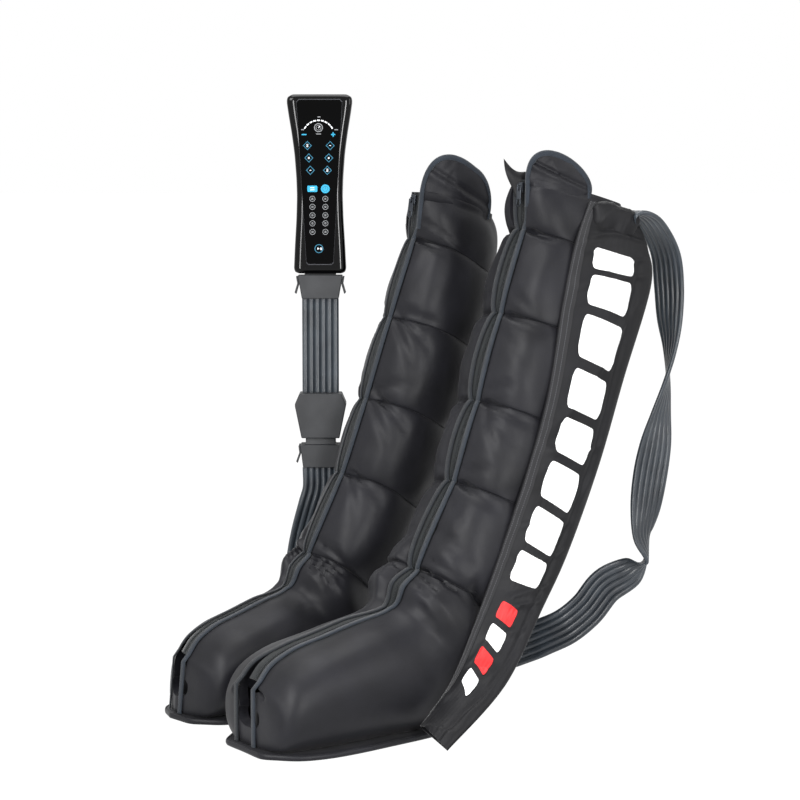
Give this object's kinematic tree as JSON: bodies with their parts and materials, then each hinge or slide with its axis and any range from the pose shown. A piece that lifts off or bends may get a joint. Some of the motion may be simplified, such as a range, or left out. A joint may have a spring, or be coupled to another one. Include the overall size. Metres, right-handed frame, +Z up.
{
  "type": "pair of compression boots",
  "caption": "Inflatable compression boots with front zippers and air-tube sleeves, joined by flat tube ribbons and latched plugs to a handheld pump controller.",
  "frame": {"origin": "on the floor, under the middle of the boots and the controller", "axes": "+Z up, toes towards -X, the left boot at -Y and the right boot at +Y"},
  "size_m": [0.6774, 0.6267, 0.8646],
  "materials": {
    "cloth": "coated woven nylon, black, light sheen",
    "binding": "grosgrain binding, blue-grey",
    "zipper": "woven zipper tape with moulded teeth, dark",
    "metal": "dark plated die-cast metal",
    "hose": "soft extruded tubing, grey",
    "housing": "polished, black",
    "plug": "moulded, dark grey",
    "board": "glass-fibre laminate, green",
    "battery": "shrink wrap",
    "steel": "plain steel",
    "rubber": "soft, black"
  },
  "bodies": {
    "boots": {"rear_leg_plug": "plug", "front_leg_plug": "plug", "left_upper_thigh_cell": "cloth", "left_lower_thigh_cell": "cloth", "left_knee_cell": "cloth", "left_calf_cell": "cloth", "left_ankle_cell": "cloth", "left_foot_cell": "cloth", "left_top_tongue": "cloth", "left_outer_binding": "binding", "left_inner_binding": "binding", "left_zipper_tape": "zipper", "left_toe_gusset": "cloth", "left_sole_sheet": "cloth", "left_sleeve_back": "cloth", "left_sleeve_front": "cloth", "left_sleeve_tubes": "hose", "right_upper_thigh_cell": "cloth", "right_lower_thigh_cell": "cloth", "right_knee_cell": "cloth", "right_calf_cell": "cloth", "right_ankle_cell": "cloth", "right_foot_cell": "cloth", "right_top_tongue": "cloth", "right_outer_binding": "binding", "right_inner_binding": "binding", "right_zipper_tape": "zipper", "right_toe_gusset": "cloth", "right_sole_sheet": "cloth", "right_sleeve_back": "cloth", "right_sleeve_front": "cloth", "right_sleeve_tubes": "hose", "left_leg_ribbon": "hose", "right_leg_ribbon": "hose"},
    "splitter": {"splitter_front_shell": "plug", "splitter_rear_shell": "plug", "splitter_manifold": "rubber", "main_ribbon": "hose", "controller_plug": "plug", "plug_gasket": "rubber"},
    "controller": {"front_housing": "housing", "rear_housing": "housing", "touch_panel": "housing", "circuit_board": "board", "battery_pack": "battery", "air_pump": "plug", "pump_motor": "steel", "valve_block": "plug", "air_socket": "plug", "charge_port": "steel"},
    "left_slider": {"left_zipper_slider": "metal"},
    "left_pull": {"left_zipper_pull": "metal"},
    "right_slider": {"right_zipper_slider": "metal"},
    "right_pull": {"right_zipper_pull": "metal"},
    "rear_leg_plug_right_lever": {"rear_leg_plug_right_lever": "plug"},
    "rear_leg_plug_left_lever": {"rear_leg_plug_left_lever": "plug"},
    "front_leg_plug_right_lever": {"front_leg_plug_right_lever": "plug"},
    "front_leg_plug_left_lever": {"front_leg_plug_left_lever": "plug"},
    "controller_plug_right_lever": {"controller_plug_right_lever": "plug"},
    "controller_plug_left_lever": {"controller_plug_left_lever": "plug"}
  },
  "joints": [
    {"name": "left_slider_travel", "type": "slide", "parent": "boots", "child": "left_slider", "axis": [-0.0286, 0, -0.9996], "range_m": [0, 0.033]},
    {"name": "left_pull_swing", "type": "hinge", "parent": "left_slider", "child": "left_pull", "pos_m": [0.13429, -0.09, 0.73119], "axis": [0, 1, 0], "range_deg": [0, 80]},
    {"name": "right_slider_travel", "type": "slide", "parent": "boots", "child": "right_slider", "axis": [-0.0425, 0.1315, -0.9904], "range_m": [0, 0.033]},
    {"name": "right_pull_swing", "type": "hinge", "parent": "right_slider", "child": "right_pull", "pos_m": [0.06898, 0.07752, 0.71292], "axis": [-0.1346, 0.9815, 0.1361], "range_deg": [0, 80]},
    {"name": "splitter_unplug", "type": "slide", "parent": "boots", "child": "splitter", "axis": [0, 0, 1], "range_m": [0, 0.015]},
    {"name": "controller_unplug", "type": "slide", "parent": "splitter", "child": "controller", "axis": [0, 0, 1], "range_m": [0, 0.025]},
    {"name": "controller_plug_right_press", "type": "hinge", "parent": "splitter", "child": "controller_plug_right_lever", "pos_m": [0.03384, 0.2069, 0.588], "axis": [0.5592, 0.829, 0], "range_deg": [0, 8], "stiffness_Nm_per_rad": 0.05},
    {"name": "controller_plug_left_press", "type": "hinge", "parent": "splitter", "child": "controller_plug_left_lever", "pos_m": [-0.01984, 0.2431, 0.588], "axis": [-0.5592, -0.829, 0], "range_deg": [0, 8], "stiffness_Nm_per_rad": 0.05},
    {"name": "front_leg_plug_right_press", "type": "hinge", "parent": "boots", "child": "front_leg_plug_right_lever", "pos_m": [0.02639, 0.19986, 0.33808], "axis": [0.5592, 0.829, 0], "range_deg": [0, 8], "stiffness_Nm_per_rad": 0.05},
    {"name": "front_leg_plug_left_press", "type": "hinge", "parent": "boots", "child": "front_leg_plug_left_lever", "pos_m": [-0.02357, 0.23356, 0.33808], "axis": [-0.5592, -0.829, 0], "range_deg": [0, 8], "stiffness_Nm_per_rad": 0.05},
    {"name": "rear_leg_plug_right_press", "type": "hinge", "parent": "boots", "child": "rear_leg_plug_right_lever", "pos_m": [0.03757, 0.21644, 0.33808], "axis": [0.5592, 0.829, 0], "range_deg": [0, 8], "stiffness_Nm_per_rad": 0.05},
    {"name": "rear_leg_plug_left_press", "type": "hinge", "parent": "boots", "child": "rear_leg_plug_left_lever", "pos_m": [-0.01239, 0.25014, 0.33808], "axis": [-0.5592, -0.829, 0], "range_deg": [0, 8], "stiffness_Nm_per_rad": 0.05}
  ]
}
